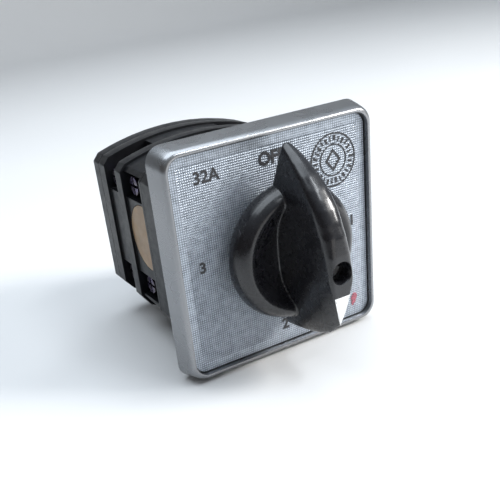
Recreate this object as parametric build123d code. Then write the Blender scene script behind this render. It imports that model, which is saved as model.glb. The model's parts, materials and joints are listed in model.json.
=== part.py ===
"""Rotary isolator switch: a two-deck cam switch for front-of-panel mounting.

Frame: origin where the rotation axis meets the panel plane (rear face of the panel gasket),
+X to the right seen from the front, +Y into the panel, +Z up. All lengths in millimetres.
The switch is drawn with its pointer at position 2, straight down.
"""
from build123d import *
from math import cos, radians, sin
import os

# ---- front plate and dial -------------------------------------------------------------
PLATE = 64.0             # bezel width and height at its rear rim
PLATE_FRONT = 61.2       # bezel width and height at its front lip
PLATE_CORNER = 4.5
BEZEL_DEPTH = 7.3
WINDOW = 58.9            # square window that holds the dial plate
WINDOW_CORNER = 3.4
LIP_RECESS = 1.5         # dial face behind the lip
DIAL_T = 1.0
DIAL_GAP = 0.1
BEZEL_FLOOR_T = 1.8
BEZEL_WALL = 2.0
FLANGE = 60.0            # square mounting plate behind the bezel
FLANGE_T = 3.0
FLANGE_CORNER = 6.0
GASKET = 59.0
GASKET_T = 1.0
PANEL_PITCH = 48.0       # square pitch of the four panel screws
PANEL_HOLE_R = 2.25
SCREW_HEAD_R = 4.2       # pockets for the panel screw heads
BEZEL_SCREW_X = 18.0
BEZEL_SCREW_R = 1.6

# ---- stack along the axis ---------------------------------------------------------------
BEZEL_REAR = -(GASKET_T + FLANGE_T)
LIP_Y = BEZEL_REAR - BEZEL_DEPTH
DIAL_Y = LIP_Y + LIP_RECESS
FLOOR_Y = DIAL_Y + DIAL_T
LATCH_FRONT = -GASKET_T
LATCH_STEP = 8.0         # the full body outline starts here, behind the panel nuts
LATCH_COVER_Y = 15.0
DECK_1_FRONT = 16.5
DECK_1_FLANGE = 29.5
DECK_2_FRONT = 33.8
DECK_2_FLANGE = 42.0
REAR_COVER_FRONT = 46.5
BODY_REAR = 51.0

# ---- body outline -----------------------------------------------------------------------
BODY_HALF = 26.5
ARCH_Z = 24.8            # crown of the arched top
# lower corner on the right, as (x, z): for the front half of the body, and cut higher for the rear
FRONT_CORNER = [(20.2, -25.3), (23.8, -23.9), (BODY_HALF, -20.0)]
REAR_CORNER = [(18.5, -23.8), (24.0, -22.3), (BODY_HALF, -19.2)]
RECESS = 0.8             # how far the waist of a deck stands in from its flanges
CAVITY_HALF_X = 23.8
CAVITY_HALF_Z = 10.5
POCKET_X = 12.0          # inner wall of the wire pockets
POCKET_Z = (11.6, 19.0)
TIE_Z = 19.6
TIE_R = 1.9
TIE_HEAD_R = 3.2

# ---- shaft and rotor --------------------------------------------------------------------
SHAFT_SQ = 7.0
SHAFT_CORNER_R = 4.7
SHAFT_FRONT = -14.0
SHAFT_REAR = 49.4
REAR_JOURNAL_R = 3.5
SQUARE_BORE = 7.1
RUNNING = 0.05
CLIP_Y = (2.95, 3.75)
STAR_R = 11.5
STAR_Y = (4.2, 9.0)
STOP_Y = (9.8, 13.4)
STOP_HUB_R = 9.0
STOP_LUG_R = 14.0
STOP_LUG_HALF = 29.0     # degrees; lug and block together leave 272 degrees of free travel
STOP_BLOCK_HALF = 15.0
STOP_BLOCK_AT = 315.0    # degrees clockwise from up, seen from the front
LATCH_CAVITY_R = 17.0
ROLLER_R = 2.2
ROLLER_AT = STAR_R + ROLLER_R + 0.4

# ---- knob -------------------------------------------------------------------------------
KNOB_REAR = DIAL_Y - 3.4 # the skirt stands clear of the dial on the knob's neck
KNOB_FRONT = -36.9
SKIRT_R = 18.35
RIM_Y = -20.4            # front of the rim around the dish
DISH_Y = -15.7           # floor of the dish, beside the blade
BLADE_HALF = 4.1         # half thickness of the handle blade at the skirt
RIDGE_HALF = 3.35        # and at its front ridge
TAIL_HALF = 1.0          # and at the tip of its tail
TAIL_START, TAIL_TIP = 6.0, 28.2
NOSE_START, NOSE_TIP = -2.0, -14.8  # the ridge narrows from here to the pointer's tip
NOSE_HALF = 0.3
RIDGE_ROUND = 0.5
NECK_R = 7.6
SCREW_SHOULDER_Y = -29.5
SCREW_BORE_R = 2.7
POINTER_START = -6.3
POINTER_DEPTH = 0.9

# ---- contacts ---------------------------------------------------------------------------
CAM_R = 9.2
CAM_NOTCH_R = 7.0
CAM_T = 3.2
CAM_OFFSET = 1.9         # cams sit this far before and behind the contact mid-plane
CONTACT_Y = {1: 25.0, 2: 38.1}
CARRIER_NOSE_X = CAM_R + 0.5
CARRIER_HALF_Z = 4.0
CARRIER_HALF_Y = 1.75
CARRIER_SLOT = (15.0, 21.4)
CAP_R = 9.6
CAP_Z = 1.2
CAP_Y = 19.6
BRIDGE_X = (18.3, 19.5)
BRIDGE_HALF_Z = 9.6
BRIDGE_HALF_Y = 1.2
TIP_R = 1.2
TIP_Z = 8.0
STRIP_X = (14.0, 15.5)
STRIP_Z = (6.4, 18.4)
STRIP_HALF_Y = 3.7
CLAMP_X = (21.4, 22.6)
CLAMP_HALF = 2.7
TERMINAL_Z = 15.3
TERMINAL_SCREW_R = 1.7
TERMINAL_HEAD_R = 2.7
TERMINAL_HEAD_OUT = 24.6

SIDES = {"left": -1, "right": 1}
LEVELS = {"upper": 1, "lower": -1}
parts = {}


# ---- helpers ----------------------------------------------------------------------------
def slab(sketch, y_front, y_rear):
    """Extrude an X-Z sketch from y_front back to y_rear."""
    return extrude(Plane.XZ.offset(-y_front) * sketch, amount=y_front - y_rear)


def crosswise(sketch, x_low, x_high):
    """Extrude a Y-Z sketch from x_low to x_high."""
    return extrude(Plane.YZ.offset(x_low) * sketch, amount=x_high - x_low)


def rod(radius, y_front, y_rear, x=0.0, z=0.0):
    return slab(Pos(x, z) * Circle(radius), y_front, y_rear)


def cross_rod(radius, x_low, x_high, y, z):
    return crosswise(Pos(y, z) * Circle(radius), x_low, x_high)


def block(x, y, z):
    """Box from three (low, high) pairs."""
    size = [high - low for low, high in (x, y, z)]
    middle = [(high + low) / 2 for low, high in (x, y, z)]
    return Pos(*middle) * Box(*size)


def mirrored(pair, side):
    """A (low, high) pair on the right, moved to the given side of the axis."""
    return pair if side > 0 else (-pair[1], -pair[0])


def rounded_square(width, corner):
    return RectangleRounded(width, width, corner)


def corners(pitch):
    return [(x, z) for x in (-pitch / 2, pitch / 2) for z in (-pitch / 2, pitch / 2)]


def body_outline(inset=0.0, lower_corner=FRONT_CORNER):
    """Cross-section of the switch body: a shallow arch on top, cut corners below."""
    right = [*lower_corner, (BODY_HALF, 18.8), (24.6, 20.9)]
    left = [(-x, z) for x, z in reversed(right)]
    arch = ThreePointArc(right[-1], (0, ARCH_Z), left[0])
    face = make_face([Polyline(*right), arch, Polyline(*left), Line(left[-1], right[0])])
    face = fillet(face.vertices(), 0.9)
    return offset(face, -inset) if inset else face


def clipped_outline():
    """Body outline with its corners taken off, so that the panel screws pass it."""
    keep = Rectangle(2 * BODY_HALF, 49.2) & Rot(0, 0, 45) * Rectangle(56.0, 56.0)
    return body_outline() & keep


def sector(r_inner, r_outer, centre, half):
    """Ring sector; centre in degrees clockwise from +Z, seen from the front."""
    reach = 2 * r_outer
    at = [radians(centre + step * half) for step in (-1, 0, 1)]
    wedge = make_face(Polyline((0, 0), *[(reach * sin(a), reach * cos(a)) for a in at], close=True))
    return (Circle(r_outer) - Circle(r_inner)) & wedge


def coil(radius, wire, length, turns):
    """Compression spring along +Z, starting at the origin plane."""
    path = Helix(pitch=length / turns, height=length, radius=radius)
    section = Plane(origin=path @ 0, z_dir=path % 0) * Circle(wire)
    return sweep(section, path=path)


def group(solids):
    return Compound(children=list(solids))


# ---- bezel, dial, flange and gasket -------------------------------------------------------
def bezel():
    outer = loft([
        Plane.XZ.offset(-BEZEL_REAR) * rounded_square(PLATE, PLATE_CORNER),
        Plane.XZ.offset(-LIP_Y - 1.2) * rounded_square(PLATE_FRONT + 0.5, PLATE_CORNER),
    ])
    outer += slab(rounded_square(PLATE_FRONT + 0.5, PLATE_CORNER), LIP_Y, LIP_Y + 1.2)
    front_edges = outer.faces().sort_by(Axis.Y)[0].edges()
    outer = fillet(front_edges, 0.9)
    shell = outer - slab(rounded_square(WINDOW, WINDOW_CORNER), LIP_Y - 1, FLOOR_Y)
    shell -= slab(rounded_square(PLATE_FRONT - 2 * BEZEL_WALL, 2.5), FLOOR_Y + BEZEL_FLOOR_T, BEZEL_REAR)
    screws = [(BEZEL_SCREW_X, 0), (-BEZEL_SCREW_X, 0)]
    for x, z in corners(PANEL_PITCH):
        shell += rod(SCREW_HEAD_R + 1.0, FLOOR_Y, BEZEL_REAR, x, z)
        shell -= rod(SCREW_HEAD_R, FLOOR_Y, FLOOR_Y + 2.8, x, z)
        shell -= rod(PANEL_HOLE_R, FLOOR_Y, BEZEL_REAR, x, z)
    for x, z in screws:
        shell += rod(4.2, FLOOR_Y, BEZEL_REAR, x, z)
        shell -= rod(3.2, FLOOR_Y, FLOOR_Y + 2.6, x, z)
        shell -= rod(BEZEL_SCREW_R + 0.1, FLOOR_Y, BEZEL_REAR, x, z)
    shell += rod(11.0, FLOOR_Y + BEZEL_FLOOR_T, BEZEL_REAR)
    shell -= rod(NECK_R + 0.7, FLOOR_Y - 1, BEZEL_REAR + 1)
    return shell


def dial_plate():
    face = rounded_square(WINDOW - 2 * DIAL_GAP, WINDOW_CORNER - DIAL_GAP)
    return slab(face - Circle(NECK_R + 0.7), DIAL_Y, FLOOR_Y)


def screw(axis_x, axis_z, head_y, shoulder_y, end_y, shank_r, head_r, slot=0.7):
    """Slotted cheese-head screw along +Y."""
    body = rod(head_r, head_y, shoulder_y, axis_x, axis_z) + rod(shank_r, shoulder_y, end_y, axis_x, axis_z)
    depth = 0.45 * (shoulder_y - head_y)
    cut = slab(Pos(axis_x, axis_z) * Rectangle(2 * head_r + 1, slot), head_y - 1, head_y + depth)
    return body - cut


def bezel_screws():
    shoulder = FLOOR_Y + 2.6
    return group(screw(x, 0, FLOOR_Y + 0.3, shoulder, LATCH_FRONT + 2.8, BEZEL_SCREW_R, 3.0)
                 for x in (-BEZEL_SCREW_X, BEZEL_SCREW_X))


def flange_plate():
    plate = slab(rounded_square(FLANGE, FLANGE_CORNER), BEZEL_REAR, LATCH_FRONT)
    for x, z in corners(PANEL_PITCH):
        plate -= rod(PANEL_HOLE_R, BEZEL_REAR - 1, LATCH_FRONT + 1, x, z)
    for x in (-BEZEL_SCREW_X, BEZEL_SCREW_X):
        plate -= rod(BEZEL_SCREW_R + 0.1, BEZEL_REAR - 1, LATCH_FRONT + 1, x)
    return plate - rod(NECK_R + 0.7, BEZEL_REAR - 1, LATCH_FRONT + 1)


def panel_gasket():
    sheet = slab(rounded_square(GASKET, FLANGE_CORNER), LATCH_FRONT, 0)
    sheet -= slab(offset(clipped_outline(), 0.2), LATCH_FRONT - 1, 1)
    for x, z in corners(PANEL_PITCH):
        sheet -= rod(PANEL_HOLE_R, LATCH_FRONT - 1, 1, x, z)
    return sheet


# ---- knob ---------------------------------------------------------------------------------
def knob_skirt():
    """Round skirt with a thick rim and a shallow dish in front, turned about the axis."""
    rear = Polyline((0, KNOB_REAR), (17.2, KNOB_REAR))
    flank = Spline((17.2, KNOB_REAR), (18.1, KNOB_REAR - 1.0), (SKIRT_R, KNOB_REAR - 2.3), (17.7, -18.0),
                   (16.6, -19.6), (15.2, RIM_Y), (14.0, RIM_Y + 0.3))
    dish = Spline((14.0, RIM_Y + 0.3), (12.8, RIM_Y + 1.2), (9.8, RIM_Y + 3.2), (5.5, DISH_Y), (0, DISH_Y))
    return revolve(make_face([rear, flank, dish, Line((0, DISH_Y), (0, KNOB_REAR))]), Axis.Y)


def blade_section(y, half, nose_start, nose_mid, nose_tip):
    """Outline of the blade at one depth, narrowing to a nose below and a tail above."""
    tail_half = half - 0.35 * (half - TAIL_HALF)
    right = [
        Spline((NOSE_HALF, nose_tip), nose_mid, (half, nose_start), tangents=[(0.5, 0.86), (0.0, 1.0)]),
        Line((half, nose_start), (half, TAIL_START)),
        Spline((half, TAIL_START), (tail_half, 21.0), (TAIL_HALF, TAIL_TIP + 0.5),
               tangents=[(0.0, 1.0), (-0.5, 0.9)]),
    ]
    left = [mirror(edge, Plane.YZ) for edge in right]
    ends = [Line((-NOSE_HALF, nose_tip), (NOSE_HALF, nose_tip)),
            Line((-TAIL_HALF, TAIL_TIP + 0.5), (TAIL_HALF, TAIL_TIP + 0.5))]
    return Plane.XZ.offset(-y) * make_face(right + left + ends)


def knob_blade():
    """Handle blade in the plane of the axis: bow-shaped pointer end below, swept tail above."""
    solid = loft([
        blade_section(KNOB_REAR + 0.6, BLADE_HALF, -8.0, (3.1, -17.0), -22.0),
        blade_section(-22.0, 3.85, -7.0, (2.8, -15.6), -21.2),
        blade_section(-27.0, 3.65, -5.0, (2.4, -13.2), -19.9),
        blade_section(-32.0, 3.5, -3.0, (2.0, -10.2), -17.6),
        blade_section(KNOB_FRONT - 0.6, RIDGE_HALF, NOSE_START, (1.9, -7.9), NOSE_TIP + 1.8),
    ])
    ridge = Spline((NOSE_TIP - 0.4, -35.0), (-7.0, KNOB_FRONT + 0.5), (0.0, KNOB_FRONT), (8.5, -35.8),
                   (14.8, -33.1), (19.0, -29.8), (24.5, -23.4), (TAIL_TIP, -17.2))
    under = Spline((TAIL_TIP, -17.2), (27.4, -16.0), (24.2, -15.6), (18.3, -13.9), (14.0, KNOB_REAR - 0.4))
    # below the nose the outline runs clear of the loft, which shapes the keel itself
    foot = Polyline((14.0, KNOB_REAR - 0.4), (-17.0, KNOB_REAR - 0.4), (-23.0, -15.0), (-23.0, -31.0),
                    (NOSE_TIP - 0.4, -35.0))
    # the side view is drawn as (z, y) and laid in the Y-Z plane
    side_view = make_face([ridge, under, foot])
    plane = Plane(origin=(0, 0, 0), x_dir=(0, 0, 1), z_dir=(-1, 0, 0))
    solid &= extrude(plane * side_view, amount=BLADE_HALF + 1, both=True)
    ridge_edges = [e for e in solid.edges() if abs(e.center().X) > 1 and e.center().Y < -22 and e.length > 8]
    return fillet(ridge_edges, RIDGE_ROUND)


def knob():
    body = knob_skirt() + knob_blade() + rod(NECK_R, KNOB_REAR - 1, BEZEL_REAR - 1.0)
    body -= slab(Rectangle(SQUARE_BORE, SQUARE_BORE), SHAFT_FRONT - 0.1, BEZEL_REAR)
    body -= rod(2.1, SCREW_SHOULDER_Y - 1, SHAFT_FRONT)
    body -= rod(SCREW_BORE_R, KNOB_FRONT - 1, SCREW_SHOULDER_Y)
    return body - pointer_prism(0.02)


def pointer_prism(clearance=0.0):
    """Tapered white line inlaid in the ridge, pointing at the dial mark."""
    wide, start, end = 2.05 + clearance, POINTER_START + clearance, NOSE_TIP + 0.2 - clearance
    face = make_face(Polyline((-wide, start), (wide, start), (0.15, end), (-0.15, end), close=True))
    inlay = slab(face, KNOB_FRONT - 1, KNOB_FRONT + POINTER_DEPTH + 1.0 + clearance)
    return inlay & knob_blade()


def knob_screw():
    return screw(0, 0, SCREW_SHOULDER_Y - 2.6, SCREW_SHOULDER_Y - 0.7, SHAFT_FRONT + 8, 1.85, 2.6)


def knob_washer():
    disc = rod(2.6, SCREW_SHOULDER_Y - 0.7, SCREW_SHOULDER_Y)
    return disc - rod(1.95, SCREW_SHOULDER_Y - 1, SCREW_SHOULDER_Y + 1)


# ---- shaft and latch ----------------------------------------------------------------------
def shaft():
    square = Rectangle(SHAFT_SQ, SHAFT_SQ) & Circle(SHAFT_CORNER_R)
    body = slab(square, SHAFT_FRONT, REAR_COVER_FRONT)
    body += rod(SHAFT_CORNER_R, LATCH_FRONT - 0.2, CLIP_Y[0])
    body += rod(REAR_JOURNAL_R, REAR_COVER_FRONT, SHAFT_REAR)
    groove = rod(SHAFT_CORNER_R + 2, *CLIP_Y) - rod(3.2, *CLIP_Y)
    return body - groove - rod(1.9, SHAFT_FRONT - 1, SHAFT_FRONT + 12)


def shaft_clip():
    ring = Circle(6.6) - Circle(3.25) - Pos(0, -5) * Rectangle(5.2, 10)
    return slab(ring, *CLIP_Y)


def square_holed(sketch, y_front, y_rear):
    return slab(sketch - Rectangle(SQUARE_BORE, SQUARE_BORE), y_front, y_rear)


def star_wheel():
    face = Circle(STAR_R)
    for quarter in range(4):
        face -= Rot(0, 0, 90 * quarter) * Pos(STAR_R + 1.4, 0) * Circle(3.1)
    return square_holed(face, *STAR_Y)


def stop_disc():
    lug = sector(STOP_HUB_R - 1, STOP_LUG_R, 180, STOP_LUG_HALF)
    return square_holed(Circle(STOP_HUB_R) + lug, *STOP_Y)


def stop_block():
    return slab(sector(STOP_HUB_R + 0.6, LATCH_CAVITY_R, STOP_BLOCK_AT, STOP_BLOCK_HALF), *STOP_Y)


def latch_housing():
    body = slab(clipped_outline(), LATCH_FRONT, LATCH_STEP)
    body += slab(body_outline(), LATCH_STEP, LATCH_COVER_Y)
    body -= rod(LATCH_CAVITY_R, LATCH_FRONT + 3.8, LATCH_COVER_Y + 1)
    for side in SIDES.values():
        body -= block(mirrored((14.0, 23.4), side), (3.4, 9.8), (-3.8, 3.8))
        body -= rod(BEZEL_SCREW_R + 0.05, LATCH_FRONT - 1, LATCH_FRONT + 3.0, side * BEZEL_SCREW_X)
    for z in (-TIE_Z, TIE_Z):
        body -= rod(TIE_R + 0.05, LATCH_FRONT + 3, LATCH_COVER_Y + 1, 0, z)
    return body - rod(6.5, LATCH_FRONT - 1, LATCH_FRONT + 4)


def front_bush():
    return rod(6.5, LATCH_FRONT, LATCH_FRONT + 3.8) - rod(SHAFT_CORNER_R + RUNNING, LATCH_FRONT - 1, 4)


def latch_cover():
    plate = slab(body_outline(), LATCH_COVER_Y, DECK_1_FRONT) - rod(6.5, LATCH_COVER_Y - 1, DECK_1_FRONT + 1)
    for z in (-TIE_Z, TIE_Z):
        plate -= rod(TIE_R + 0.1, LATCH_COVER_Y - 1, DECK_1_FRONT + 1, 0, z)
    return plate


def detent_rollers():
    return group(rod(ROLLER_R, *STAR_Y, side * ROLLER_AT) for side in SIDES.values())


def detent_plungers():
    """Spring-loaded saddles that press the rollers into the star wheel."""
    saddles = []
    for side in SIDES.values():
        saddle = block(mirrored((ROLLER_AT + 0.6, 19.4), side), (3.8, 9.4), (-3.4, 3.4))
        saddles.append(saddle - rod(ROLLER_R + 0.02, 3, 10, side * ROLLER_AT))
    return group(saddles)


def detent_springs():
    turned = []
    for side in SIDES.values():
        spring = coil(1.7, 0.35, 3.0, 3.5)
        turned.append(Pos(side * 19.85, (STAR_Y[0] + STAR_Y[1]) / 2, 0) * Rot(0, 90 * side, 0) * spring)
    return group(turned)


# ---- contact decks --------------------------------------------------------------------------
def deck_blank(front, flange_front, rear, lower_corner):
    """Recessed waist with a full flange behind it and the cam chamber opened from the front."""
    body = slab(body_outline(RECESS, lower_corner), front, flange_front)
    body += slab(body_outline(0.0, lower_corner), flange_front, rear)
    chamber = (front - 1, rear - 2.0)
    body -= block((-CAVITY_HALF_X, CAVITY_HALF_X), chamber, (-CAVITY_HALF_Z, CAVITY_HALF_Z))
    body -= rod(6.5, front, rear + 1)
    for z in (-TIE_Z, TIE_Z):
        body -= rod(TIE_R + 0.1, front - 1, rear + 1, 0, z)
    return body


def strip_slots(deck, side, level):
    """Slot in the chamber wall that a fixed contact strip passes through."""
    y = (CONTACT_Y[deck] - STRIP_HALF_Y, CONTACT_Y[deck] + STRIP_HALF_Y)
    z = mirrored((CAVITY_HALF_Z - 1, POCKET_Z[0] + 0.5), level)
    return block(mirrored(STRIP_X, side), y, z)


def deck_1_housing():
    body = deck_blank(DECK_1_FRONT, DECK_1_FLANGE, DECK_2_FRONT, FRONT_CORNER)
    for side in SIDES.values():
        half_round = Circle(CAP_R + 0.15) & Pos(CAP_R, 0) * Rectangle(2 * CAP_R + 3.2, 3 * CAP_R)
        window = Pos(CAP_Y, CAP_Z) * half_round
        body -= crosswise(window, *mirrored((CAVITY_HALF_X - 1, BODY_HALF + 1), side))
        for level in LEVELS.values():
            pocket = block(mirrored((POCKET_X, BODY_HALF + 1), side), (DECK_1_FRONT + 1.4, DECK_1_FLANGE),
                           mirrored(POCKET_Z, level))
            body -= pocket + strip_slots(1, side, level)
    return body


def deck_2_housing():
    body = deck_blank(DECK_2_FRONT, DECK_2_FLANGE, REAR_COVER_FRONT, REAR_CORNER)
    for side in SIDES.values():
        for level in LEVELS.values():
            corner = block(mirrored((POCKET_X, BODY_HALF + 1), side), (DECK_2_FRONT - 1, DECK_2_FLANGE),
                           mirrored((POCKET_Z[0], 30.0), level))
            body -= corner + strip_slots(2, side, level)
    return body


def cam_y(deck, side):
    return CONTACT_Y[deck] - side * CAM_OFFSET


def cam(deck, side):
    """Cam disc with one low sector, which closes its contact at one switch position."""
    middle = cam_y(deck, side)
    closing = {(1, -1): 180, (1, 1): 0, (2, -1): 90, (2, 1): 270}[deck, side]
    face = Circle(CAM_R) - sector(CAM_NOTCH_R, CAM_R + 1, closing, 32)
    return square_holed(face, middle - CAM_T / 2, middle + CAM_T / 2)


def carrier(deck, side):
    """Plunger between cam and contact bridge; on the front deck it ends in a half-round cap."""
    middle = cam_y(deck, side)
    y = (middle - CARRIER_HALF_Y, middle + CARRIER_HALF_Y)
    z = (-CARRIER_HALF_Z, CARRIER_HALF_Z)
    body = block(mirrored((CARRIER_NOSE_X + 2, CAVITY_HALF_X - 0.2), side), y, z)
    body += block(mirrored((CARRIER_NOSE_X, CARRIER_NOSE_X + 2.5), side), y, (-2.2, 2.2))
    slot_y = (middle - BRIDGE_HALF_Y - 0.1, middle + BRIDGE_HALF_Y + 0.1)
    body -= block(mirrored(CARRIER_SLOT, side), slot_y, (-CARRIER_HALF_Z - 1, CARRIER_HALF_Z + 1))
    if deck == 1:
        face = Circle(CAP_R) & Pos(CAP_R, 0) * Rectangle(2 * CAP_R + 3.0, 3 * CAP_R)
        cap = crosswise(Pos(CAP_Y, CAP_Z) * face, *mirrored((CAVITY_HALF_X - 0.4, BODY_HALF - RECESS), side))
        body += cap
    return body


def bridge(deck, side):
    middle = cam_y(deck, side)
    y = (middle - BRIDGE_HALF_Y, middle + BRIDGE_HALF_Y)
    return block(mirrored(BRIDGE_X, side), y, (-BRIDGE_HALF_Z, BRIDGE_HALF_Z))


def bridge_springs():
    springs = []
    for deck in CONTACT_Y:
        for side in SIDES.values():
            spring = coil(0.85, 0.18, 1.4, 3)
            springs.append(Pos(side * 19.75, cam_y(deck, side), 0) * Rot(0, 90 * side, 0) * spring)
    return group(springs)


def contact_tips(x_pair):
    tips = []
    for deck in CONTACT_Y:
        for side in SIDES.values():
            for z in (-TIP_Z, TIP_Z):
                tips.append(cross_rod(TIP_R, *mirrored(x_pair, side), cam_y(deck, side), z))
    return group(tips)


def terminal(deck, side, level):
    """Fixed contact strip: contact end in the chamber, screw end in the wire pocket."""
    y = (CONTACT_Y[deck] - STRIP_HALF_Y, CONTACT_Y[deck] + STRIP_HALF_Y)
    strip = block(mirrored(STRIP_X, side), y, mirrored(STRIP_Z, level))
    hole = cross_rod(TERMINAL_SCREW_R + 0.05, *mirrored((STRIP_X[0] - 1, STRIP_X[1] + 1), side),
                     CONTACT_Y[deck], level * TERMINAL_Z)
    return strip - hole


def at_terminals(deck, make):
    return group(make(deck, side, level) for side in SIDES.values() for level in LEVELS.values())


def terminal_screw(deck, side, level):
    y, z = CONTACT_Y[deck], level * TERMINAL_Z
    body = cross_rod(TERMINAL_SCREW_R, *mirrored((POCKET_X + 0.4, CLAMP_X[1]), side), y, z)
    body += cross_rod(TERMINAL_HEAD_R, *mirrored((CLAMP_X[1], TERMINAL_HEAD_OUT), side), y, z)
    slot_x = mirrored((TERMINAL_HEAD_OUT - 1.0, TERMINAL_HEAD_OUT + 1), side)
    body -= block(slot_x, (y - 4, y + 4), (z - 0.4, z + 0.4))
    return body - block(slot_x, (y - 0.4, y + 0.4), (z - 4, z + 4))


def clamp_washer(deck, side, level):
    y, z = CONTACT_Y[deck], level * TERMINAL_Z
    plate = block(mirrored(CLAMP_X, side), (y - CLAMP_HALF, y + CLAMP_HALF), (z - CLAMP_HALF, z + CLAMP_HALF))
    return plate - cross_rod(TERMINAL_SCREW_R + 0.05, *mirrored((CLAMP_X[0] - 1, CLAMP_X[1] + 1), side), y, z)


# ---- rear end ---------------------------------------------------------------------------------
def rear_cover():
    body = slab(body_outline(0.0, REAR_CORNER), REAR_COVER_FRONT, BODY_REAR)
    body -= rod(5.6, REAR_COVER_FRONT - 1, SHAFT_REAR + 0.3)
    for z in (-TIE_Z, TIE_Z):
        body -= rod(TIE_R + 0.1, REAR_COVER_FRONT - 1, BODY_REAR + 1, 0, z)
        body -= rod(TIE_HEAD_R + 0.2, BODY_REAR - 2.6, BODY_REAR + 1, 0, z)
    return body


def rear_bush():
    return rod(5.6, REAR_COVER_FRONT, SHAFT_REAR) - rod(REAR_JOURNAL_R + RUNNING, REAR_COVER_FRONT - 1, 50)


def tie_bolts():
    bolts = []
    for z in (-TIE_Z, TIE_Z):
        head = rod(TIE_HEAD_R, BODY_REAR - 1.9, BODY_REAR, 0, z)
        slot = slab(Pos(0, z) * Rectangle(0.8, 8), BODY_REAR - 0.9, BODY_REAR + 1)
        bolts.append(rod(TIE_R, LATCH_FRONT + 4.2, BODY_REAR - 1.9, 0, z) + head - slot)
    return group(bolts)


def tie_washers():
    return group(rod(TIE_HEAD_R, BODY_REAR - 2.6, BODY_REAR - 1.9, 0, z)
                 - rod(TIE_R + 0.05, BODY_REAR - 3, BODY_REAR - 1, 0, z) for z in (-TIE_Z, TIE_Z))


# ---- all nodes --------------------------------------------------------------------------------
for make in (bezel, dial_plate, bezel_screws, flange_plate, panel_gasket, knob, knob_screw, knob_washer,
             shaft, shaft_clip, star_wheel, stop_disc, stop_block, latch_housing, front_bush, latch_cover,
             detent_rollers, detent_plungers, detent_springs, deck_1_housing, deck_2_housing,
             bridge_springs, rear_cover, rear_bush, tie_bolts, tie_washers):
    parts[make.__name__] = make()

parts["knob_pointer"] = pointer_prism()
parts["bridge_tips"] = contact_tips((BRIDGE_X[0] - 1.0, BRIDGE_X[0]))
parts["terminal_tips"] = contact_tips((STRIP_X[1], STRIP_X[1] + 0.6))
for deck in CONTACT_Y:
    parts[f"terminal_screws_{deck}"] = at_terminals(deck, terminal_screw)
    parts[f"clamp_washers_{deck}"] = at_terminals(deck, clamp_washer)
    for side_name, side in SIDES.items():
        parts[f"cam_{deck}_{side_name}"] = cam(deck, side)
        parts[f"contact_carrier_{deck}_{side_name}"] = carrier(deck, side)
        parts[f"contact_bridge_{deck}_{side_name}"] = bridge(deck, side)
        for level_name, level in LEVELS.items():
            parts[f"terminal_{deck}_{side_name}_{level_name}"] = terminal(deck, side, level)

os.makedirs("parts", exist_ok=True)
for name, shape in parts.items():
    export_step(shape, f"parts/{name}.step")
print(len(parts), "nodes")
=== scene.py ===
"""Looks of the rotary isolator switch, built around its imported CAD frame.

Lengths are written in millimetres and turned into metres by MM. The frame is the CAD part's:
+X right seen from the front, +Y into the panel along the rotation axis, +Z up.
"""
import json
import math

import bmesh
import bpy
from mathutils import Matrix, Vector


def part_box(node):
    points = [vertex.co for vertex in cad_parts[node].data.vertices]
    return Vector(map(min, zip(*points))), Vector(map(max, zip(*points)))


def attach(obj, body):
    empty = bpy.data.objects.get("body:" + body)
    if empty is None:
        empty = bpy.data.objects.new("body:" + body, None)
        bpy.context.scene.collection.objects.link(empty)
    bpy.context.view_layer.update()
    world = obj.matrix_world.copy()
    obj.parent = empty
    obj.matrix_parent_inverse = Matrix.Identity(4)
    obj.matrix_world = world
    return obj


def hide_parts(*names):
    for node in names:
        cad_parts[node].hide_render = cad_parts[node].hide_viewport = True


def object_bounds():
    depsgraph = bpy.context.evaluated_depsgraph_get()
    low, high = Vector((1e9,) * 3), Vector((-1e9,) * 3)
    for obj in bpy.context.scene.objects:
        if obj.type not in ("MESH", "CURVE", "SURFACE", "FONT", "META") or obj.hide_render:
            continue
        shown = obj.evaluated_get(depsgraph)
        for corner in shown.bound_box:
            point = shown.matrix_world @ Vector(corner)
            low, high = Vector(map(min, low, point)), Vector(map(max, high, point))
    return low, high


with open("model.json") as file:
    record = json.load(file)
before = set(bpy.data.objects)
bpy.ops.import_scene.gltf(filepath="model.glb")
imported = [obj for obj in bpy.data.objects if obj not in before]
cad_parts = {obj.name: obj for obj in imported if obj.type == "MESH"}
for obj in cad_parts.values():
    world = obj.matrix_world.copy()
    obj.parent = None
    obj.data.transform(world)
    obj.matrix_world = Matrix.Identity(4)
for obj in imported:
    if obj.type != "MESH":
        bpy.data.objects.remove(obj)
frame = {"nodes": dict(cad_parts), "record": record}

MM = 0.001
BODY, ROTOR = "switch_body", "rotor"
CAD_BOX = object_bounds()


# ---- places read from the frame, in millimetres --------------------------------------------
def node_box(node):
    low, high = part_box(node)
    return [v / MM for v in low], [v / MM for v in high]


BEZEL_LOW, BEZEL_HIGH = node_box("bezel")
DIAL_LOW, DIAL_HIGH = node_box("dial_plate")
KNOB_LOW, KNOB_HIGH = node_box("knob")
LIP_Y, BEZEL_REAR_Y = BEZEL_LOW[1], BEZEL_HIGH[1]
DIAL_Y = DIAL_LOW[1]
PLATE_HALF = BEZEL_HIGH[0]
DIAL_HALF = DIAL_HIGH[0]


# ---- materials --------------------------------------------------------------------------------
NOISE_LOW, NOISE_HIGH = 0.35, 0.65  # the part of a noise's range that holds most of its values


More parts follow.
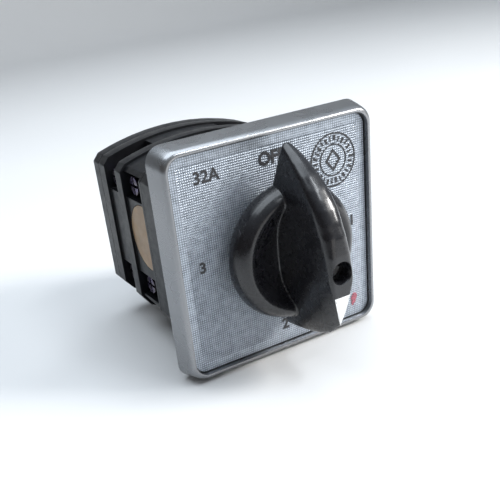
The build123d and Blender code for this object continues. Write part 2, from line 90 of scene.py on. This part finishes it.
class Material:
    """A Principled material whose node graph reads the object's own coordinates, in metres."""

    def __init__(self, name, colour, **sockets):
        self.data = bpy.data.materials.new(name)
        self.data.use_nodes = True
        self.data.diffuse_color = (*colour, 1)
        self.tree = self.data.node_tree
        self.shader = self.tree.nodes["Principled BSDF"]
        self.shader.inputs["Base Color"].default_value = (*colour, 1)
        for socket, value in sockets.items():
            self.shader.inputs[socket.replace("_", " ")].default_value = value
        self.place = self.tree.nodes.new("ShaderNodeTexCoord").outputs["Object"]
        self.normal = None

    def link(self, source, target):
        self.tree.links.new(source, target)

    def noise(self, size_mm, detail=4.0, stretch=None):
        """Noise whose features are about size_mm across; stretch scales them along X, Y and Z."""
        place = self.place
        if stretch:
            mapping = self.tree.nodes.new("ShaderNodeMapping")
            mapping.inputs["Scale"].default_value = stretch
            self.link(place, mapping.inputs["Vector"])
            place = mapping.outputs["Vector"]
        node = self.tree.nodes.new("ShaderNodeTexNoise")
        node.inputs["Scale"].default_value = 1.0 / (size_mm * MM)
        node.inputs["Detail"].default_value = detail
        node.inputs["Roughness"].default_value = 0.6
        self.link(place, node.inputs["Vector"])
        return node.outputs["Fac"]

    def spread(self, source, low, high):
        """Map a noise onto low to high."""
        node = self.tree.nodes.new("ShaderNodeMapRange")
        node.inputs["From Min"].default_value = NOISE_LOW
        node.inputs["From Max"].default_value = NOISE_HIGH
        node.inputs["To Min"].default_value = low
        node.inputs["To Max"].default_value = high
        self.link(source, node.inputs["Value"])
        return node.outputs["Result"]

    def math(self, operation, *values):
        """Math node on sockets or plain numbers."""
        node = self.tree.nodes.new("ShaderNodeMath")
        node.operation = operation
        for socket, value in zip(node.inputs, values):
            if isinstance(value, (int, float)):
                socket.default_value = value
            else:
                self.link(value, socket)
        return node.outputs["Value"]

    def tint(self, source, first, last, start=NOISE_LOW, end=NOISE_HIGH):
        """Base colour that runs from first to last as the source goes from start to end."""
        ramp = self.tree.nodes.new("ShaderNodeValToRGB")
        ramp.color_ramp.elements[0].position = start
        ramp.color_ramp.elements[1].position = end
        ramp.color_ramp.elements[0].color = (*first, 1)
        ramp.color_ramp.elements[1].color = (*last, 1)
        self.link(source, ramp.inputs["Fac"])
        self.link(ramp.outputs["Color"], self.shader.inputs["Base Color"])

    def rough(self, source, low, high):
        """Roughness that runs from low to high with a noise."""
        self.link(self.spread(source, low, high), self.shader.inputs["Roughness"])

    def bump(self, source, height_mm):
        """Raise the surface by up to height_mm with the source, on top of earlier bumps."""
        node = self.tree.nodes.new("ShaderNodeBump")
        node.inputs["Strength"].default_value = 1.0
        node.inputs["Distance"].default_value = height_mm * MM
        self.link(source, node.inputs["Height"])
        if self.normal:
            self.link(self.normal, node.inputs["Normal"])
        self.normal = node.outputs["Normal"]
        self.link(self.normal, self.shader.inputs["Normal"])


def shade(colour, factor):
    """The colour made darker or lighter."""
    return tuple(min(1.0, c * factor) for c in colour)


def moulded(name, colour, rough, grain_mm=0.35, grain_height=0.012, wave_height=0.03, **sockets):
    """Injection-moulded plastic: slow waviness, fine spark-eroded grain and patchy gloss."""
    made = Material(name, colour, **sockets)
    made.tint(made.noise(9.0), shade(colour, 0.82), shade(colour, 1.22))
    made.rough(made.noise(2.4, detail=6.0), *rough)
    made.bump(made.noise(14.0, detail=1.0), wave_height)
    made.bump(made.noise(grain_mm, detail=2.0), grain_height)
    return made.data


def metal(name, colour, rough=(0.24, 0.38), brush=(1.0, 1.0, 1.0), brush_mm=0.4, height=0.006, **sockets):
    """Drawn, turned or plated metal: fine marks along one direction and patchy gloss."""
    made = Material(name, colour, Metallic=1.0, **sockets)
    made.tint(made.noise(5.0), shade(colour, 0.86), shade(colour, 1.10))
    made.rough(made.noise(1.6, detail=5.0), *rough)
    made.bump(made.noise(brush_mm, detail=3.0, stretch=brush), height)
    return made.data


def lacquered_silver(name, colour):
    """Silver lacquer on a moulded frame: fine metal flake and faint orange peel."""
    made = Material(name, colour, Metallic=0.85, Coat_Weight=0.3, Coat_Roughness=0.12)
    made.tint(made.noise(0.12, detail=1.0), shade(colour, 0.97), shade(colour, 1.03))
    made.rough(made.noise(6.0, detail=1.0), 0.25, 0.30)
    made.bump(made.noise(4.0, detail=0.0), 0.004)
    made.bump(made.noise(0.18, detail=2.0), 0.0004)
    return made.data


def embossed_aluminium(name, colour, pitch_mm):
    """Satin aluminium with painted shade: its colour darkens towards the grooves of its pressed grid."""
    made = Material(name, colour, Metallic=0.75)
    split = made.tree.nodes.new("ShaderNodeSeparateXYZ")
    made.link(made.place, split.inputs["Vector"])
    bands = []
    for axis in ("X", "Z"):
        cell = made.math("MULTIPLY", split.outputs[axis], math.pi / (pitch_mm * MM))
        bands.append(made.math("ABSOLUTE", made.math("COSINE", cell)))
    groove = made.math("MAXIMUM", *bands)
    # Painted shade: the colour darkens towards the grooves, made patchy by a noise.
    painted_groove_shade = made.math("MULTIPLY", groove, made.spread(made.noise(1.7, detail=5.0), 0.85, 1.0))
    made.tint(painted_groove_shade, colour, shade(colour, 0.32), start=0.60, end=0.97)
    made.rough(made.noise(1.2, detail=5.0), 0.34, 0.48)
    made.bump(made.noise(0.15, detail=3.0), 0.002)
    return made.data


def plated_violet(name):
    """Dark zinc passivation that drifts from violet to grey."""
    made = Material(name, (0.10, 0.08, 0.14), Metallic=1.0)
    made.tint(made.noise(1.8, detail=3.0), (0.07, 0.05, 0.13), (0.16, 0.14, 0.15))
    made.rough(made.noise(0.9, detail=5.0), 0.22, 0.40)
    made.bump(made.noise(0.25, detail=3.0), 0.004)
    return made.data


def ink(name, colour):
    """Screen-printed ink: slightly glossy, with spots that turn dark grey."""
    made = Material(name, colour, Specular_IOR_Level=0.4)
    made.tint(made.noise(0.25, detail=3.0), colour, (0.05, 0.05, 0.055))
    made.rough(made.noise(0.4, detail=4.0), 0.35, 0.55)
    made.bump(made.noise(0.2, detail=2.0), 0.002)
    return made.data


WAFFLE_PITCH = 0.62

MATERIALS = {
    "bezel_silver": lacquered_silver("silver_lacquer", (0.27, 0.275, 0.285)),
    "dial_aluminium": embossed_aluminium("dial_aluminium", (0.50, 0.55, 0.62), WAFFLE_PITCH),
    "knob_black": moulded("knob_gloss_black", (0.0075, 0.0075, 0.0095), rough=(0.20, 0.32), grain_mm=0.5,
                          grain_height=0.003, wave_height=0.05, Coat_Weight=0.2, Coat_Roughness=0.15),
    "pointer_white": moulded("pointer_white", (0.84, 0.84, 0.82), rough=(0.35, 0.5)),
    "black_plastic": moulded("housing_black", (0.005, 0.0054, 0.0068), rough=(0.32, 0.44),
                             Specular_IOR_Level=0.25),
    "gasket_rubber": moulded("gasket_rubber", (0.015, 0.015, 0.015), rough=(0.75, 0.9), grain_height=0.05),
    "ivory_nylon": moulded("ivory_nylon", (0.30, 0.20, 0.115), rough=(0.38, 0.52),
                           Subsurface_Weight=0.15, Subsurface_Scale=0.002),
    "cam_grey": moulded("cam_grey", (0.30, 0.31, 0.32), rough=(0.3, 0.45)),
    "copper": metal("copper_strip", (0.74, 0.42, 0.26), brush=(1.0, 1.0, 0.08)),
    "silver_tips": metal("silver_rivet", (0.80, 0.80, 0.78), rough=(0.18, 0.3)),
    "zinc_screws": plated_violet("zinc_violet"),
    "steel": metal("plated_steel", (0.58, 0.58, 0.60), brush=(1.0, 0.15, 1.0)),
    "bronze": metal("sintered_bronze", (0.50, 0.34, 0.18), rough=(0.4, 0.6), brush_mm=0.2, height=0.02),
}
INK_BLACK = ink("ink_black", (0.014, 0.014, 0.016))
INK_RED = ink("ink_red", (0.66, 0.16, 0.22))


# ---- mesh helpers -----------------------------------------------------------------------------
def piece(name, vertices, faces, material, body, slot=None, smooth=35.0):
    """A new mesh piece from millimetre vertices, shaded smooth below an edge angle, in degrees."""
    mesh = bpy.data.meshes.new(name)
    mesh.from_pydata([tuple(c * MM for c in v) for v in vertices], [], faces)
    fixed = bmesh.new()
    fixed.from_mesh(mesh)
    bmesh.ops.recalc_face_normals(fixed, faces=fixed.faces)
    fixed.to_mesh(mesh)
    fixed.free()
    made = bpy.data.objects.new(name, mesh)
    bpy.context.collection.objects.link(made)
    finish_piece(made, material, body, smooth)
    return made


def finish_piece(made, material, body, smooth):
    """Give a piece its material, its shading and the body that it rides on."""
    made.data.materials.clear()
    made.data.materials.append(material)
    made.data.shade_smooth()
    if smooth:
        made.data.set_sharp_from_angle(angle=math.radians(smooth))
    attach(made, body)


def rounded_square(half, corner):
    """Closed loop of (x, z) points round a square with rounded corners."""
    steps = 10
    points = []
    for quarter in range(4):
        turn = math.radians(90 * quarter)
        for step in range(steps + 1):
            angle = turn + math.radians(90) * step / steps
            x = (half - corner) * (1 if quarter in (0, 3) else -1) + corner * math.cos(angle)
            z = (half - corner) * (1 if quarter in (0, 1) else -1) + corner * math.sin(angle)
            points.append((x, z))
    return points


def circle(radius, steps, x=0.0, z=0.0):
    """Closed loop of (x, z) points round a circle."""
    return [(x + radius * math.cos(2 * math.pi * s / steps), z + radius * math.sin(2 * math.pi * s / steps))
            for s in range(steps)]


def loft(loops, closed=False):
    """Vertices and quads through loops of equal length; closed joins the last to the first."""
    count = len(loops[0])
    vertices = [v for loop in loops for v in loop]
    faces = []
    for row in range(len(loops) if closed else len(loops) - 1):
        below, above = row * count, (row + 1) % len(loops) * count
        for step in range(count):
            after = (step + 1) % count
            faces.append((below + step, below + after, above + after, above + step))
    return vertices, faces


def at_depth(loop, y):
    return [(x, y, z) for x, z in loop]


def capped(loops):
    """Vertices and faces of a loft whose first and last loops are closed by a face."""
    vertices, faces = loft(loops)
    count = len(loops[0])
    faces.append(tuple(range(count)))
    faces.append(tuple(range(len(vertices) - count, len(vertices))))
    return vertices, faces


def apply_modifiers(made):
    """Replace the mesh with its evaluated form."""
    graph = bpy.context.evaluated_depsgraph_get()
    mesh = bpy.data.meshes.new_from_object(made.evaluated_get(graph))
    made.modifiers.clear()
    made.data = mesh


# ---- bezel ------------------------------------------------------------------------------------
def build_bezel():
    """Square frame with drafted sides and a rounded lip, hollow behind the dial seat."""
    opening_half, pocket_half = 9.0, 28.6
    seat_front, seat_rear = DIAL_Y + 1.0, DIAL_Y + 2.8
    profile = [  # half width, corner radius, y
        (PLATE_HALF - 0.35, 4.2, BEZEL_REAR_Y), (PLATE_HALF, 4.5, BEZEL_REAR_Y - 0.35),
        (PLATE_HALF - 0.45, 4.5, LIP_Y + 4.2), (PLATE_HALF - 0.95, 4.5, LIP_Y + 1.7),
        (PLATE_HALF - 1.15, 4.5, LIP_Y + 0.9), (PLATE_HALF - 1.45, 4.4, LIP_Y + 0.35),
        (PLATE_HALF - 1.85, 4.2, LIP_Y + 0.06), (PLATE_HALF - 2.2, 4.0, LIP_Y),
        (PLATE_HALF - 2.45, 3.8, LIP_Y + 0.12), (DIAL_HALF + 0.12, 3.5, LIP_Y + 0.5),
        (DIAL_HALF + 0.08, 3.4, DIAL_Y), (DIAL_HALF + 0.06, 3.4, seat_front),
        (opening_half, 3.4, seat_front), (opening_half, 3.4, seat_rear),
        (pocket_half, 2.5, seat_rear), (pocket_half, 2.5, BEZEL_REAR_Y),
    ]
    loops = [at_depth(rounded_square(half, corner), y) for half, corner, y in profile]
    vertices, faces = loft(loops, closed=True)
    made = piece("bezel_frame", vertices, faces, MATERIALS["bezel_silver"], BODY, "bezel_silver",
                 smooth=50)
    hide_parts("bezel")


# ---- dial -------------------------------------------------------------------------------------
WAFFLE_HALF = 27.0
WAFFLE_DEPTH = 0.14
DIAL_CORNER = 3.3
DIAL_BACK_Y = DIAL_Y + 0.95
WAFFLE_INNER_R = 10.3  # the field stops here, under the knob
INK_DEPTH = 0.03
SEAL_X, SEAL_Z, SEAL_R = 18.9, 18.4, 7.26
DAB_X, DAB_Z = 24.1, -23.9


def build_dial():
    """Dial plate: a smooth border round a field of small square pads with grooves between them."""
    cells = int(2 * WAFFLE_HALF / WAFFLE_PITCH)
    half = cells * WAFFLE_PITCH / 2
    step = WAFFLE_PITCH / 3
    count = 3 * cells + 1
    vertices, faces = [], []
    for row in range(count):
        for column in range(count):
            x, z = -half + column * step, -half + row * step
            groove = column % 3 == 0 or row % 3 == 0
            edge = row in (0, count - 1) or column in (0, count - 1)
            y = DIAL_Y + (WAFFLE_DEPTH if groove and not edge else 0.0)
            vertices.append((x, y, z))
    for row in range(count - 1):
        for column in range(count - 1):
            middle = (-half + (column + 0.5) * step, -half + (row + 0.5) * step)
            if math.hypot(*middle) > WAFFLE_INNER_R:
                low = row * count + column
                faces.append((low, low + 1, low + count + 1, low + count))
    piece("dial_waffle", vertices, faces, MATERIALS["dial_aluminium"], BODY, "dial_aluminium", smooth=20)

    outer_half, chamfer, inner_corner = DIAL_HALF - 0.18, 0.12, 0.02
    loops = [at_depth(rounded_square(outer_half, DIAL_CORNER), DIAL_BACK_Y),
             at_depth(rounded_square(outer_half, DIAL_CORNER), DIAL_Y + chamfer),
             at_depth(rounded_square(outer_half - chamfer, DIAL_CORNER), DIAL_Y),
             at_depth(rounded_square(half, inner_corner), DIAL_Y),
             at_depth(rounded_square(half, inner_corner), DIAL_BACK_Y)]
    border = piece("dial_border", *loft(loops), MATERIALS["dial_aluminium"], BODY, "dial_aluminium",
                   smooth=30)
    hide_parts("dial_plate")


def middle_of(values):
    values = list(values)
    return (min(values) + max(values)) / 2


def printed_text(name, words, x, z, height, weight):
    """Flat printed characters on the dial, centred at x, z; weight thickens their strokes."""
    capital_share = 0.73  # of the font's size
    half_depth = 0.02
    curve = bpy.data.curves.new(name, "FONT")
    curve.body = words
    curve.align_x = "CENTER"
    curve.align_y = "CENTER"
    curve.size = height * MM / capital_share
    curve.offset = weight * MM
    curve.extrude = half_depth * MM
    made = bpy.data.objects.new(name, curve)
    bpy.context.collection.objects.link(made)
    graph = bpy.context.evaluated_depsgraph_get()
    mesh = bpy.data.meshes.new_from_object(made.evaluated_get(graph))
    bpy.data.objects.remove(made)
    middle_x = middle_of(v.co.x for v in mesh.vertices)
    middle_y = middle_of(v.co.y for v in mesh.vertices)
    for vertex in mesh.vertices:
        flat = vertex.co.copy()
        vertex.co = Vector((flat.x - middle_x + x * MM, (DIAL_Y - half_depth) * MM - flat.z,
                            flat.y - middle_y + z * MM))
    printed = bpy.data.objects.new(name, mesh)
    bpy.context.collection.objects.link(printed)
    finish_piece(printed, INK_BLACK, BODY, smooth=30)


def build_marks():
    """The rating and the four positions; the 1 stands far enough out to clear the knob's skirt."""
    printed_text("mark_rating", "32A", -18.9, 23.2, 3.2, weight=0.08)
    printed_text("mark_off", "OFF", 0.0, 23.6, 3.3, weight=0.17)
    printed_text("mark_1", "1", 24.3, 0.3, 2.9, weight=0.15)
    printed_text("mark_2", "2", 0.0, -23.6, 3.1, weight=0.15)
    printed_text("mark_3", "3", -23.2, 0.3, 2.9, weight=0.13)


def seal_ring(name, inner, outer):
    front = DIAL_Y - INK_DEPTH
    section = ((inner, DIAL_Y), (inner, front), (outer, front), (outer, DIAL_Y))
    loops = [at_depth(circle(radius, 96, SEAL_X, SEAL_Z), y) for radius, y in section]
    piece(name, *loft(loops), INK_BLACK, BODY, smooth=30)


def seal_ticks():
    """Vertices and faces of the ring of ticks, a little shorter at each third one."""
    ticks = 26
    vertices, faces = [], []
    for tick in range(ticks):
        angle = 2 * math.pi * tick / ticks
        inner, outer = (4.9, 6.3) if tick % 3 else (5.2, 6.6)
        half_width = 0.22 if tick % 2 else 0.34
        along_tick = (math.cos(angle), math.sin(angle))
        beside = (-along_tick[1], along_tick[0])
        start = len(vertices)
        for y in (DIAL_Y - INK_DEPTH, DIAL_Y):
            for reach, side in ((inner, -1), (outer, -1), (outer, 1), (inner, 1)):
                vertices.append((SEAL_X + reach * along_tick[0] + side * half_width * beside[0], y,
                                 SEAL_Z + reach * along_tick[1] + side * half_width * beside[1]))
        faces.append(tuple(start + i for i in range(4)))
        for i in range(4):
            after = (i + 1) % 4
            faces.append((start + i, start + after, start + 4 + after, start + 4 + i))
    return vertices, faces


def seal_diamond(reach):
    """Loop of (x, z) points round a diamond taller than it is wide."""
    stretch = 1.25
    turns = [math.pi * quarter / 2 for quarter in range(4)]
    return [(SEAL_X + reach * math.sin(a), SEAL_Z + stretch * reach * math.cos(a)) for a in turns]


def build_seal():
    """Generic round inspection mark: two rings with ticks between them and a plain diamond."""
    seal_ring("seal_outer_ring", SEAL_R - 0.42, SEAL_R)
    seal_ring("seal_inner_ring", 3.95, 4.3)
    piece("seal_ticks", *seal_ticks(), INK_BLACK, BODY)
    outer, inner = seal_diamond(2.5), seal_diamond(1.7)
    front = DIAL_Y - INK_DEPTH
    loops = [at_depth(outer, DIAL_Y), at_depth(outer, front),
             at_depth(inner, front), at_depth(inner, DIAL_Y)]
    piece("seal_diamond", *loft(loops), INK_BLACK, BODY)


def dab_outline(radius):
    """Loop of (x, z) points round an uneven, leaning oval."""
    steps = 40
    points = []
    for step in range(steps):
        angle = 2 * math.pi * step / steps
        across = radius * (1 + 0.12 * math.sin(5 * angle)) * math.cos(angle) + 0.35 * math.sin(angle)
        up = 1.9 * radius * (1 + 0.10 * math.sin(3 * angle + 0.8)) * math.sin(angle)
        points.append((DAB_X + across, DAB_Z + up))
    return points


def build_red_dab():
    """Dab of red ink beside the pointer, thickest in its middle."""
    section = ((1.0, DIAL_Y), (0.95, DIAL_Y - INK_DEPTH), (0.02, DIAL_Y - 0.05))
    loops = [at_depth(dab_outline(radius), y) for radius, y in section]
    piece("red_dab", *loft(loops), INK_RED, BODY)


# ---- knob --------------------------------------------------------------------------------------
KNOB_FRONT, KNOB_REAR = KNOB_LOW[1], -13.2
TAIL_TIP, NOSE_END = KNOB_HIGH[2], KNOB_LOW[2]
TAIL_START = 6.0
SCREW_BORE_R, SCREW_SHOULDER_Y = 2.7, -29.5
VOXEL = 0.22
SKIRT_PROFILE = [  # radius, y: the rear face, the flank, the rim and the dish
    (0.0, -13.2), (16.8, -13.2),
    (17.5, -13.45), (18.0, -14.0), (18.3, -14.8), (18.35, -15.5), (18.2, -16.5), (17.8, -17.8),
    (17.2, -18.9), (16.5, -19.7), (15.8, -20.2), (15.2, -20.4), (14.6, -20.35), (14.0, -20.1),
    (13.4, -19.7), (12.3, -18.8), (10.6, -17.6), (8.6, -16.6), (6.4, -15.95), (4.0, -15.7), (0.0, -15.65),
]
RIDGE = [  # z, y along the front of the handle
    (-14.6, -35.0), (-11.0, -35.85), (-7.0, -36.4), (-3.5, -36.8), (0.0, -36.9), (4.0, -36.7),
    (8.5, -35.8), (12.0, -34.5), (14.8, -33.1), (17.0, -31.5), (19.0, -29.8), (21.8, -26.8),
    (24.5, -23.4), (26.4, -20.6), (27.6, -18.4), (28.2, -17.2),
]
UNDERSIDE = [  # z, y behind the tail, where it overhangs the skirt
    (17.0, -13.3), (18.3, -13.9), (21.3, -14.9), (24.2, -15.6), (27.4, -16.2), (28.2, -16.8),
]
KEEL = [  # z, y down the pointer end
    (-22.0, -14.0), (-21.9, -16.0), (-21.3, -21.0), (-20.2, -26.1), (-18.2, -31.0), (-14.6, -35.0),
]
OVERHANG_START = UNDERSIDE[0][0]
POINTER_START, POINTER_END = -6.3, -14.5


def along(curve, at, key=0):
    """Value on a curve of pairs, by straight pieces; key picks which of the pair is looked up."""
    if at <= curve[0][key]:
        return curve[0][1 - key]
    for low, high in zip(curve, curve[1:]):
        if at <= high[key]:
            share = (at - low[key]) / (high[key] - low[key])
            return low[1 - key] + share * (high[1 - key] - low[1 - key])
    return curve[-1][1 - key]


def blade_half(y, z):
    """Half thickness of the handle at depth y and height z."""
    deep = (y - KNOB_FRONT) / (KNOB_REAR - KNOB_FRONT)  # 0 at the front, 1 at the rear
    half = 3.35 + 0.75 * deep
    tip = along(list(reversed(KEEL)), y, key=1)
    start = -2.0 - 6.0 * deep
    if z < start:
        share = max(0.0, (z - tip) / (start - tip))
        return half * share ** (0.78 - 0.42 * deep)
    if z > TAIL_START:
        share = max(0.0, (TAIL_TIP - z) / (TAIL_TIP - TAIL_START))
        return half * (0.30 + 0.70 * (1 - (1 - share) ** 3.2))
    return half


def ridge_y(z):
    """Depth of the handle's front outline at height z."""
    return along(RIDGE if z >= RIDGE[0][0] else KEEL, z)


def ridge_rounding(z):
    """Radius of the ridge's edges: tight at the pointer, wide over the middle, less at the tail."""
    widening = max(0.0, min(1.0, (z + 4.0) / 14.0))
    narrowing = max(0.0, (z - 18.0) / 10.0)
    return 0.45 + 2.35 * widening - 0.9 * narrowing


def quarter_round(share):
    """Height of a quarter circle, 0 to 1, at a share of the way along it."""
    return math.sqrt(max(0.0, 1 - (1 - share) ** 2))


def blade_mesh():
    """Vertices and faces of the handle: one loop across it at each height."""
    stations, steps = 150, 34
    end_gap, under_rounding, least_half = 0.05, 1.2, 0.02
    loops = []
    for station in range(stations + 1):
        z = NOSE_END + end_gap + (TAIL_TIP - NOSE_END - 2 * end_gap) * station / stations
        overhangs = z > OVERHANG_START
        front = ridge_y(z)
        rear = along(UNDERSIDE, z) if overhangs else KNOB_REAR - 0.1
        rounding = ridge_rounding(z)
        right = []
        for step in range(steps + 1):
            y = front + (rear - front) * (step / steps) ** 1.8
            drop = min(1.0, (y - front) / rounding)
            under = min(1.0, (rear - y) / under_rounding) if overhangs else 1.0
            half = blade_half(y, z)
            half -= min(half, rounding) * (1 - quarter_round(drop))
            half *= 0.4 + 0.6 * quarter_round(under)
            right.append((max(least_half, half), y, z))
        loops.append(right + [(-x, y, z) for x, y, z in reversed(right)])
    return capped(loops)


def lathe(profile, steps=128):
    """Vertices and faces of a profile of (radius, y) turned about the axis, capped at both ends."""
    return capped([at_depth(circle(max(radius, 0.01), steps), y) for radius, y in profile])


def joined(*shapes):
    """Vertices and faces of several shapes as one."""
    vertices, faces = [], []
    for more_vertices, more_faces in shapes:
        start = len(vertices)
        vertices += more_vertices
        faces += [tuple(start + i for i in face) for face in more_faces]
    return vertices, faces


def build_knob():
    """Skirt and handle melted into one moulding, with the screw's hole bored into it."""
    neck = lathe([(0.0, -14.5), (7.6, -14.5), (7.6, -5.2), (0.0, -5.2)])
    shapes = joined(lathe(SKIRT_PROFILE), blade_mesh(), neck)
    made = piece("knob_moulding", *shapes, MATERIALS["knob_black"], ROTOR, "knob_black", smooth=None)
    melt = made.modifiers.new("melt", "REMESH")
    melt.mode = "VOXEL"
    melt.voxel_size = VOXEL * MM
    soften = made.modifiers.new("soften", "SMOOTH")
    soften.factor, soften.iterations = 0.5, 7
    apply_modifiers(made)
    mouth_r = SCREW_BORE_R + 0.3
    bore_profile = [(0.0, KNOB_FRONT - 2.0), (mouth_r, KNOB_FRONT - 2.0), (mouth_r, KNOB_FRONT),
                    (SCREW_BORE_R, KNOB_FRONT + 0.4), (SCREW_BORE_R, SCREW_SHOULDER_Y),
                    (0.0, SCREW_SHOULDER_Y)]
    bore = piece("bore", *lathe(bore_profile, 64), MATERIALS["knob_black"], ROTOR)
    cut = made.modifiers.new("bore", "BOOLEAN")
    cut.operation, cut.solver, cut.object = "DIFFERENCE", "EXACT", bore
    apply_modifiers(made)
    bpy.data.objects.remove(bore)
    made.data.shade_smooth()
    made.data.set_sharp_from_angle(angle=math.radians(50))
    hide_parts("knob")


def build_pointer():
    """White inlay that follows the ridge, a hair proud of it, down to a point."""
    stations, across = 40, 8
    proud, margin, thickness = 0.03, 0.22, 0.8
    loops = []
    for station in range(stations + 1):
        z = POINTER_START + (POINTER_END - POINTER_START) * station / stations
        y = ridge_y(z)
        half = max(0.1, blade_half(y + 0.3, z) - margin)
        sides = [2 * i / across - 1 for i in range(across + 1)]
        front = [(half * side, y - proud + 0.1 * abs(side) ** 6, z) for side in sides]
        loops.append(front + [(x, y + thickness, z) for x, _, _ in reversed(front)])
    made = piece("pointer_inlay", *capped(loops), MATERIALS["pointer_white"], ROTOR, "pointer_white",
                 smooth=40)
    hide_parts("knob_pointer")


# ---- CAD nodes that keep their shape ---------------------------------------------------------
REPLACED = {"bezel", "dial_plate", "knob", "knob_pointer"}
SOFT_EDGES = {  # rounding of the moulded edges, in millimetres
    "latch_housing": 0.35, "latch_cover": 0.2, "deck_1_housing": 0.3, "deck_2_housing": 0.3,
    "rear_cover": 0.45, "flange_plate": 0.4,
}


def soften_edges(shown, width):
    """Round the sharp edges of a CAD node with modifiers, which leave its mesh as it is."""
    weld = shown.modifiers.new("weld", "WELD")
    weld.merge_threshold = 0.002 * MM
    flat = shown.modifiers.new("merge_flat_faces", "DECIMATE")
    flat.decimate_type = "DISSOLVE"
    flat.angle_limit = math.radians(1.5)
    bevel = shown.modifiers.new("rounded_edges", "BEVEL")
    bevel.width = width * MM
    bevel.segments = 3
    bevel.limit_method = "ANGLE"
    bevel.angle_limit = math.radians(40)
    bevel.harden_normals = True


def dress_cad_nodes():
    """Give every CAD node that stays visible its material, and soften the edges of those listed in
    SOFT_EDGES.
    """
    slots = {entry["node"]: entry["material_slot"] for entry in frame["record"]["subparts"]}
    for node, shown in frame["nodes"].items():
        if node in REPLACED:
            continue
        shown.data.materials.clear()
        shown.data.materials.append(MATERIALS[slots[node]])
        if node in SOFT_EDGES:
            soften_edges(shown, SOFT_EDGES[node])


# ---- floor, lights, camera --------------------------------------------------------------------
def build_stage():
    """Pale floor that curves up into a backdrop."""
    low = CAD_BOX[0][2]
    front, depth, rise, bend, half_width = -2.2, 0.9, 0.9, 0.35, 2.5
    steps = 12
    side = [(front, low)]
    for step in range(steps + 1):
        angle = math.radians(90) * step / steps
        side.append((depth + bend * math.sin(angle), low + bend * (1 - math.cos(angle))))
    side.append((depth + bend, low + bend + rise))
    mesh = bpy.data.meshes.new("studio_floor")
    vertices = [(x, y, z) for y, z in side for x in (-half_width, half_width)]
    faces = [(2 * i, 2 * i + 1, 2 * i + 3, 2 * i + 2) for i in range(len(side) - 1)]
    mesh.from_pydata(vertices, [], faces)
    floor = bpy.data.objects.new("studio_floor", mesh)
    bpy.context.collection.objects.link(floor)
    made = Material("studio_white", (0.70, 0.70, 0.70))
    made.rough(made.noise(80.0), 0.6, 0.7)
    mesh.materials.append(made.data)
    mesh.shade_smooth()


def area_light(name, place, size, power, colour):
    """Rectangular lamp, in metres and watts, that faces the origin."""
    data = bpy.data.lights.new(name, "AREA")
    data.shape = "RECTANGLE"
    data.size, data.size_y = size
    data.energy = power
    data.color = colour
    light = bpy.data.objects.new(name, data)
    bpy.context.collection.objects.link(light)
    light.location = place
    light.rotation_euler = (-Vector(place)).to_track_quat("-Z", "Y").to_euler()


def build_lights():
    """Key from the right, soft light above, a strip for the bezel's lip and a weak front fill."""
    area_light("key_right", (0.62, -0.42, 0.42), (0.24, 0.28), 8.5, (1.0, 0.985, 0.96))
    area_light("top_soft", (-0.02, 0.12, 0.70), (0.8, 0.6), 5.0, (0.84, 0.92, 1.0))
    area_light("lip_strip", (0.24, -0.32, 0.62), (0.30, 0.10), 1.6, (0.90, 0.95, 1.0))
    area_light("fill_front", (0.10, -0.90, 0.05), (0.6, 0.4), 0.8, (1.0, 0.97, 0.94))


def build_world():
    """Soft light all round, warm and dim from below to pale blue from above and the right."""
    world = bpy.data.worlds.new("studio_world")
    world.use_nodes = True
    tree = world.node_tree
    place = tree.nodes.new("ShaderNodeTexCoord")
    split = tree.nodes.new("ShaderNodeSeparateXYZ")
    height = tree.nodes.new("ShaderNodeMath")
    ramp = tree.nodes.new("ShaderNodeValToRGB")
    height.operation = "MULTIPLY_ADD"
    height.inputs[1].default_value = 0.45
    ramp.color_ramp.elements[0].position = 0.0
    ramp.color_ramp.elements[0].color = (0.16, 0.135, 0.115, 1)
    ramp.color_ramp.elements[1].position = 0.9
    ramp.color_ramp.elements[1].color = (0.80, 0.90, 1.0, 1)
    tree.links.new(place.outputs["Generated"], split.inputs["Vector"])
    tree.links.new(split.outputs["X"], height.inputs[0])
    tree.links.new(split.outputs["Z"], height.inputs[2])
    tree.links.new(height.outputs["Value"], ramp.inputs["Fac"])
    tree.links.new(ramp.outputs["Color"], tree.nodes["Background"].inputs["Color"])
    tree.nodes["Background"].inputs["Strength"].default_value = 0.55
    bpy.context.scene.world = world


def build_camera():
    """Camera at the viewing angle of the original."""
    data = bpy.data.cameras.new("photo_camera")
    data.sensor_width = 36.0
    data.lens = 51.96
    data.shift_x, data.shift_y = 0.0812, 0.1566
    data.clip_start = 0.01
    camera = bpy.data.objects.new("photo_camera", data)
    bpy.context.collection.objects.link(camera)
    camera.location = (-0.0960, -0.1637, 0.0698)
    camera.rotation_euler = [math.radians(a) for a in (62.78, 7.07, -28.78)]
    bpy.context.scene.camera = camera


build_bezel()
build_dial()
build_marks()
build_seal()
build_red_dab()
build_knob()
build_pointer()
dress_cad_nodes()
build_stage()
build_lights()
build_world()
build_camera()
bpy.context.scene.view_settings.view_transform = "Standard"
